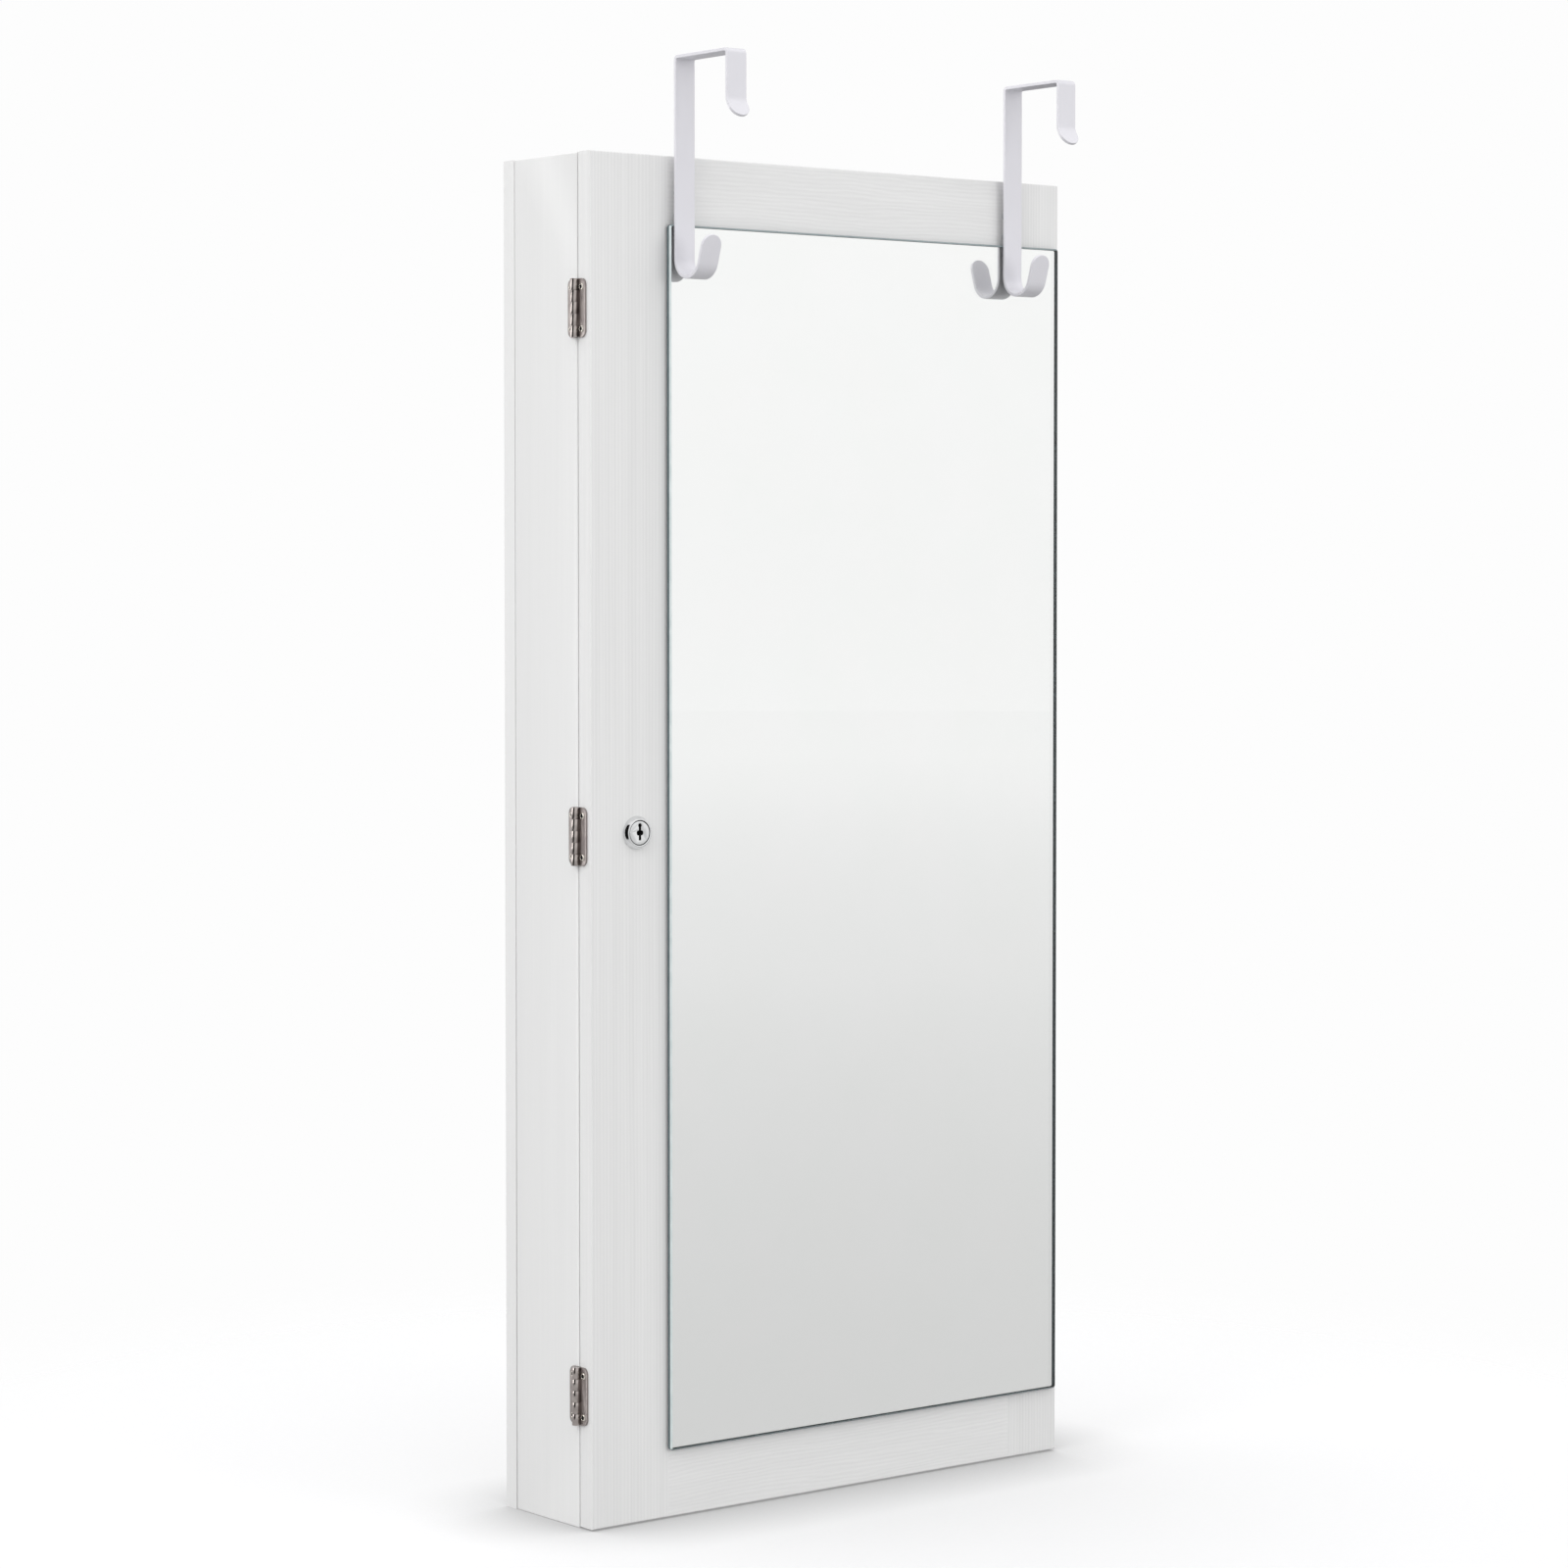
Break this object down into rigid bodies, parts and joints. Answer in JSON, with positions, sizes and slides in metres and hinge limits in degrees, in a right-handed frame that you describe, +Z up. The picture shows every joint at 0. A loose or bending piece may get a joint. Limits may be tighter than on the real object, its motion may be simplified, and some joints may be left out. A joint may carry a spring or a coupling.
{
  "type": "jewelry mirror cabinet",
  "caption": "Shallow white wall or over-door jewelry cabinet with a hinged, lockable mirror door, flat strap hooks at the top and shelves, pegs and ring rolls inside.",
  "frame": {"origin": "middle of the cabinet's footprint, on the surface it stands on", "axes": "+Z up, +X to the right seen from the front, +Y from the mirror door to the back board"},
  "size_m": [0.3671, 0.1487, 0.858],
  "materials": {
    "white_wood": "white painted board, satin",
    "raw_wood": "plain beech",
    "lining": "flocked board",
    "velvet": "velvet over foam",
    "mirror": "silvered float glass with ground edges",
    "foam_tape": "closed foam",
    "hinge_metal": "antique nickel plate",
    "zinc_steel": "zinc plate",
    "nickel": "satin nickel plate",
    "lock_chrome": "bright chrome plate",
    "strap_paint": "pale powder coat, satin",
    "catch_plastic": "moulded",
    "ferrite": "ground ferrite"
  },
  "bodies": {
    "case": {"left_side_panel": "white_wood", "right_side_panel": "white_wood", "top_panel": "white_wood", "bottom_panel": "white_wood", "back_board": "white_wood", "back_lining": "lining", "carcass_dowels": "raw_wood", "back_screws": "zinc_steel", "upper_shelf": "white_wood", "middle_shelf": "white_wood", "lower_shelf": "white_wood", "upper_shelf_lip": "white_wood", "middle_shelf_lip": "white_wood", "lower_shelf_lip": "white_wood", "bottom_lip": "white_wood", "necklace_rail": "white_wood", "necklace_pegs": "nickel", "upper_earring_bar": "white_wood", "lower_earring_bar": "white_wood", "ring_tray": "white_wood", "ring_rolls": "velvet", "rod_cheeks": "white_wood", "bracelet_rods": "nickel", "lock_strike": "zinc_steel", "fitting_screws": "zinc_steel", "catch_housing": "catch_plastic", "catch_magnet": "ferrite", "upper_hinge_case_leaf": "hinge_metal", "middle_hinge_case_leaf": "hinge_metal", "lower_hinge_case_leaf": "hinge_metal", "upper_hinge_pin": "hinge_metal", "middle_hinge_pin": "hinge_metal", "lower_hinge_pin": "hinge_metal", "case_leaf_screws": "hinge_metal"},
    "door": {"door_left_stile": "white_wood", "door_right_stile": "white_wood", "door_top_rail": "white_wood", "door_bottom_rail": "white_wood", "door_panel": "white_wood", "door_lining": "lining", "door_dowels": "raw_wood", "mirror_tape": "foam_tape", "mirror_glass": "mirror", "stud_pad": "velvet", "upper_hinge_door_leaf": "hinge_metal", "middle_hinge_door_leaf": "hinge_metal", "lower_hinge_door_leaf": "hinge_metal", "door_leaf_screws": "hinge_metal", "lock_housing": "lock_chrome", "lock_nut": "zinc_steel", "catch_keeper": "zinc_steel", "keeper_screw": "zinc_steel", "left_hook": "strap_paint", "right_hook": "strap_paint", "hook_studs": "zinc_steel", "hook_spacers": "zinc_steel", "hook_nuts": "zinc_steel"},
    "lock": {"lock_plug": "lock_chrome", "lock_cam": "zinc_steel", "cam_screw": "zinc_steel"}
  },
  "joints": [
    {"name": "door_hinge", "type": "hinge", "parent": "case", "child": "door", "pos_m": [-0.1837, -0.0316, 0.4045], "axis": [0, 0, -1], "range_deg": [0, 170]},
    {"name": "lock_turn", "type": "hinge", "parent": "door", "child": "lock", "pos_m": [-0.1486, -0.044, 0.406], "axis": [0, 1, 0], "range_deg": [0, 90]}
  ]
}
